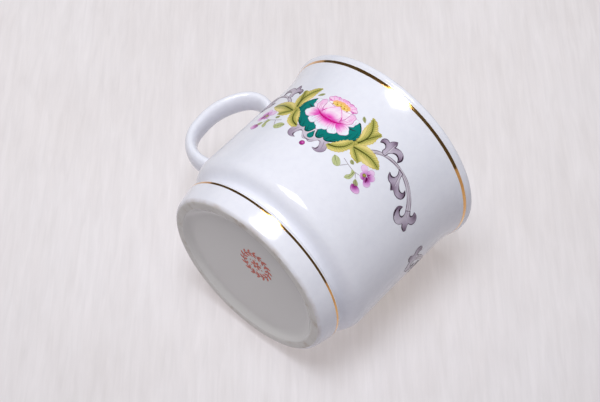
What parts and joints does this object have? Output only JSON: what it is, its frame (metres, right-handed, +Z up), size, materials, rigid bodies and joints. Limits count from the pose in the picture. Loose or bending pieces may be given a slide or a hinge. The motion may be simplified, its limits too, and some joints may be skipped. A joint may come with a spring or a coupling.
{
  "type": "teacup",
  "caption": "White porcelain teacup with a waisted foot, flared lip, loop handle, gold bands and floral enamel decals.",
  "frame": {"origin": "on the table, under the middle of the box round cup and handle", "axes": "+Z up the cup's axis towards the lip, the handle points along -X, the front decal faces -Y"},
  "size_m": [0.1048, 0.0816, 0.074],
  "materials": {
    "porcelain": "glossy clear glaze",
    "gold": "bright fired gold",
    "enamel_teal": "glossy overglaze enamel",
    "enamel_pink": "glossy overglaze enamel",
    "enamel_yellow": "glossy overglaze enamel",
    "enamel_leaf_green": "glossy overglaze enamel",
    "enamel_mauve_grey": "glossy overglaze enamel",
    "enamel_sage": "glossy overglaze enamel",
    "enamel_violet": "glossy overglaze enamel",
    "enamel_red": "overglaze enamel"
  },
  "bodies": {
    "root": {"cup_body": "porcelain", "handle": "porcelain", "rim_gold_band": "gold", "foot_gold_band": "gold", "backstamp": "enamel_red", "front_teal_ground": "enamel_teal", "front_peony": "enamel_pink", "front_stamens": "enamel_yellow", "front_leaves": "enamel_leaf_green", "front_centre_scroll": "enamel_mauve_grey", "front_left_scroll": "enamel_mauve_grey", "front_right_scroll": "enamel_mauve_grey", "front_sprigs": "enamel_sage", "front_violets": "enamel_violet", "front_berry": "enamel_violet", "rear_teal_ground": "enamel_teal", "rear_peony": "enamel_pink", "rear_stamens": "enamel_yellow", "rear_leaves": "enamel_leaf_green", "rear_centre_scroll": "enamel_mauve_grey", "rear_left_scroll": "enamel_mauve_grey", "rear_right_scroll": "enamel_mauve_grey", "rear_sprigs": "enamel_sage", "rear_violets": "enamel_violet", "rear_berry": "enamel_violet"}
  },
  "joints": []
}
